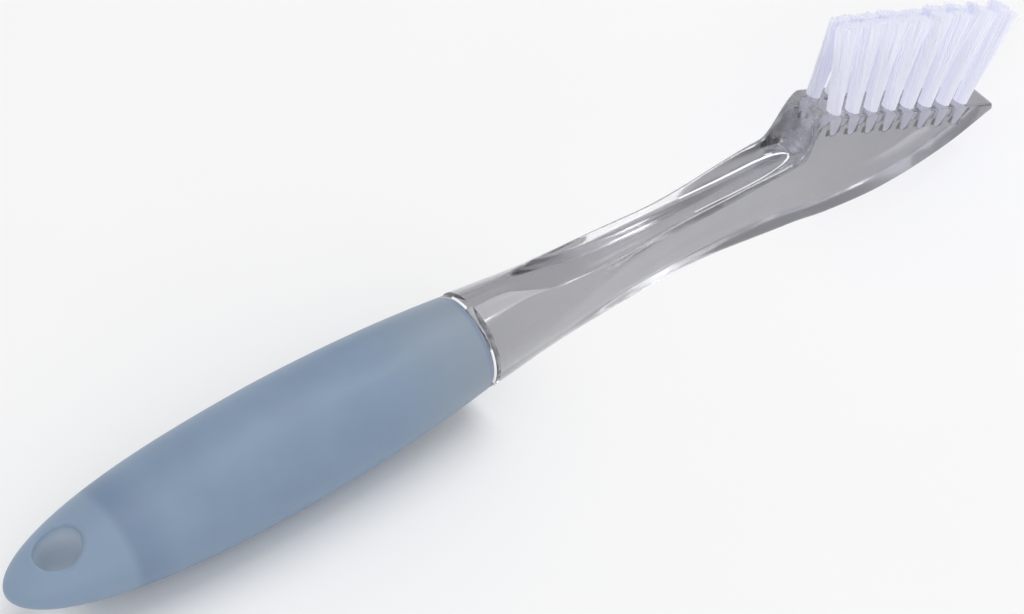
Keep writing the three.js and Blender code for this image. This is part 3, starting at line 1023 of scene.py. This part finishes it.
# Half-hard steel wire, drawn flat and cut off: dull grey with fine lines along its length.
def makeWire():
    material, tree = newMaterial("drawn_steel_wire")
    spot = addNode(tree, "ShaderNodeTexCoord", {}).outputs["Object"]
    stretch = addNode(tree, "ShaderNodeMapping", {"Vector": spot, "Scale": (0.1, 1.0, 1.0)})
    lines = addNode(tree, "ShaderNodeTexNoise", {"Vector": stretch.outputs[0], "Scale": perMetre(0.15)})
    colour = addNode(tree, "ShaderNodeMix", {
        mixFactor: lines.outputs["Fac"], mixA: srgb("#77767b"), mixB: srgb("#8d8c92"),
    }, data_type="RGBA")
    rough = addNode(tree, "ShaderNodeMapRange", {
        "Value": lines.outputs["Fac"], "To Min": 0.28, "To Max": 0.45,
    })
    shader = addNode(tree, "ShaderNodeBsdfPrincipled", {
        "Base Color": colour.outputs[mixOut], "Roughness": rough.outputs[0], "Metallic": 1.0,
    })
    addNode(tree, "ShaderNodeOutputMaterial", {"Surface": shader.outputs[0]})
    return material


anchor = {"length": 3.5, "thickness": 0.4, "height": 1.4, "depth": 4.0, "bevel": 0.08}


def makeAnchor():
    startFresh()
    bpy.ops.mesh.primitive_cube_add(size=0.001, enter_editmode=True)
    piece = bpy.context.object
    bpy.ops.mesh.select_all(action="SELECT")
    bpy.ops.transform.resize(value=(anchor["length"], anchor["thickness"], anchor["height"]))
    bpy.ops.mesh.bevel(offset=anchor["bevel"] / 1000, segments=2, affect="EDGES")
    bpy.ops.object.mode_set(mode="OBJECT")
    return piece


def rowName(side):
    return "near" if side < 0 else "far"


nylon, wire = makeNylon(), makeWire()
filament, flatWire = makeFilament(), makeAnchor()
draw = random.Random(tuft["seed"])
for index, side in eachTuft:
    label = f"{rowName(side)}_{index + 1}"
    tilt = draw.uniform(-tuft["trimTilt"], tuft["trimTilt"])
    rise = draw.uniform(-tuft["trimStep"], tuft["trimStep"])
    strands = []
    for number in range(tuft["filaments"]):
        strands.append(bendFilament(filament, index, side, number, rise, tilt, draw))
    bunch = joinPieces(f"bristles_{label}", strands)
    smoothByAngle(bunch, tuft["smoothAngle"])
    bunch.data.materials.append(nylon)
    bunch.visible_shadow = False  # nylon lets light on to the filaments behind
    dress(bunch, "white_nylon", f"tuft_{label}")
    plate = copyPiece(flatWire, f"wire_{label}")
    placeOnFace(plate, index, side, -anchor["depth"])
    plate.data.materials.append(wire)
    dress(plate, "anchor_wire", f"anchor_{label}")
bpy.data.objects.remove(filament)
bpy.data.objects.remove(flatWire)
print("tufts and anchors made")


# Floor, light and view
stage = {
    "floorSize": 6.0,
    "sky": "#ffffff",
    "skyStrength": 0.67,  # on matt surfaces; the clear plastic sees it white
    "dimSky": "#85838f",  # beyond the brush and up, with bright windows in it
    "windows": "#f4f4ff",
    "windowScale": 4.0,
    "windowFrom": 0.46,
    "windowFull": 0.72,
    "dimToward": (0.45, 0.55, 0.70),
    "dimFrom": 0.55,
    "dimTo": 0.85,
}
lamps = [  # distance and sizes in metres, power in watts
    {"toward": (0.3, 0.1, 0.95), "across": (0, 1, 0), "distance": 1.3, "size": (1.0, 1.0), "power": 5.6},
    {"toward": (-0.6, -0.8, 0.55), "across": (0, 0, 1), "distance": 1.3, "size": (1.2, 1.2), "power": 3.2},
]
# Small lamps that only the clear plastic sees: they draw the flute's wall, its crests and the collar.
glints = [
    {"toward": (0.42, -0.38, 0.82), "across": (0, 1, 0), "distance": 1.1, "size": (0.25, 0.5), "power": 2.4},
    {"toward": (-0.13, 0.56, 0.82), "across": (1, 0, 0), "distance": 1.1, "size": (0.12, 0.12), "power": 0.2},
    {"toward": (-0.6, -0.55, 0.58), "across": (0, 1, 0), "distance": 1.1, "size": (0.2, 0.5), "power": 1.9},
    {"toward": (-0.8, 0.56, 0.12), "across": (0, 0, 1), "distance": 1.1, "size": (0.12, 0.12), "power": 0.35},
]


def makeFloor():
    startFresh()
    bpy.ops.mesh.primitive_plane_add(size=stage["floorSize"])
    floor = bpy.context.object
    floor.name = floor.data.name = "floor"
    material, tree = newMaterial("white_paper_floor")
    spot = addNode(tree, "ShaderNodeTexCoord", {}).outputs["Object"]
    fibre = addNode(tree, "ShaderNodeTexNoise", {"Vector": spot, "Scale": perMetre(40)})
    colour = addNode(tree, "ShaderNodeMix", {
        mixFactor: fibre.outputs["Fac"], mixA: srgb("#f6f6f7"), mixB: srgb("#f8f8f8"),
    }, data_type="RGBA")
    shader = addNode(tree, "ShaderNodeBsdfDiffuse", {"Color": colour.outputs[mixOut]})
    addNode(tree, "ShaderNodeOutputMaterial", {"Surface": shader.outputs[0]})
    floor.data.materials.append(material)


def makeLight():
    world = bpy.data.worlds.new("studio")
    bpy.context.scene.world = world
    world.use_nodes = True
    tree = world.node_tree
    tree.nodes.clear()
    toward = addNode(tree, "ShaderNodeTexCoord", {}).outputs["Generated"]
    facing = addNode(tree, "ShaderNodeVectorMath", {
        0: toward, 1: Vector(stage["dimToward"]).normalized(),
    }, operation="DOT_PRODUCT")
    dim = addNode(tree, "ShaderNodeMapRange", {
        "Value": facing.outputs["Value"], "From Min": stage["dimFrom"], "From Max": stage["dimTo"],
    }, interpolation_type="SMOOTHSTEP")
    blotches = addNode(tree, "ShaderNodeTexNoise", {
        "Vector": toward, "Scale": stage["windowScale"], "Detail": 1.0,
    })
    window = addNode(tree, "ShaderNodeMapRange", {
        "Value": blotches.outputs["Fac"], "From Min": stage["windowFrom"], "From Max": stage["windowFull"],
    }, interpolation_type="SMOOTHSTEP")
    room = addNode(tree, "ShaderNodeMix", {
        mixFactor: window.outputs[0], mixA: srgb(stage["dimSky"]), mixB: srgb(stage["windows"]),
    }, data_type="RGBA")
    path = addNode(tree, "ShaderNodeLightPath", {}).outputs
    seen = addNode(tree, "ShaderNodeMath", {
        0: path["Is Camera Ray"], 1: path["Is Glossy Ray"],
    }, operation="MAXIMUM")
    seen = addNode(tree, "ShaderNodeMath", {
        0: seen.outputs[0], 1: path["Is Transmission Ray"],
    }, operation="MAXIMUM")
    dimSeen = addNode(tree, "ShaderNodeMath", {0: dim.outputs[0], 1: seen.outputs[0]}, operation="MULTIPLY")
    colour = addNode(tree, "ShaderNodeMix", {
        mixFactor: dimSeen.outputs[0], mixA: srgb(stage["sky"]), mixB: room.outputs[mixOut],
    }, data_type="RGBA")
    strength = addNode(tree, "ShaderNodeMapRange", {"Value": seen.outputs[0], "To Min": stage["skyStrength"]})
    sky = addNode(tree, "ShaderNodeBackground", {
        "Color": colour.outputs[mixOut], "Strength": strength.outputs[0],
    })
    addNode(tree, "ShaderNodeOutputWorld", {"Surface": sky.outputs[0]})
    onlyClear = bpy.data.collections.new("clear_only")
    onlyClear.objects.link(clearBody)
    for lamp in lamps + glints:
        startFresh()
        toward = Vector(lamp["toward"]).normalized()
        side = Vector(lamp["across"]).cross(toward).normalized()
        turn = Matrix((side, toward.cross(side), toward)).transposed().to_euler()
        bpy.ops.object.light_add(type="AREA", location=toward * lamp["distance"], rotation=turn)
        box = bpy.context.object
        box.data.shape = "RECTANGLE"
        box.data.size, box.data.size_y = lamp["size"]
        box.data.energy = lamp["power"]
        if lamp in glints:
            box.light_linking.receiver_collection = onlyClear


makeFloor()
makeLight()
bpy.context.scene.view_settings.view_transform = "Standard"
bounces = bpy.context.scene.cycles  # light passes many faces of the clear plastic and many white filaments
bounces.max_bounces = bounces.transmission_bounces = 24
bounces.diffuse_bounces = 10
print("floor and light placed")
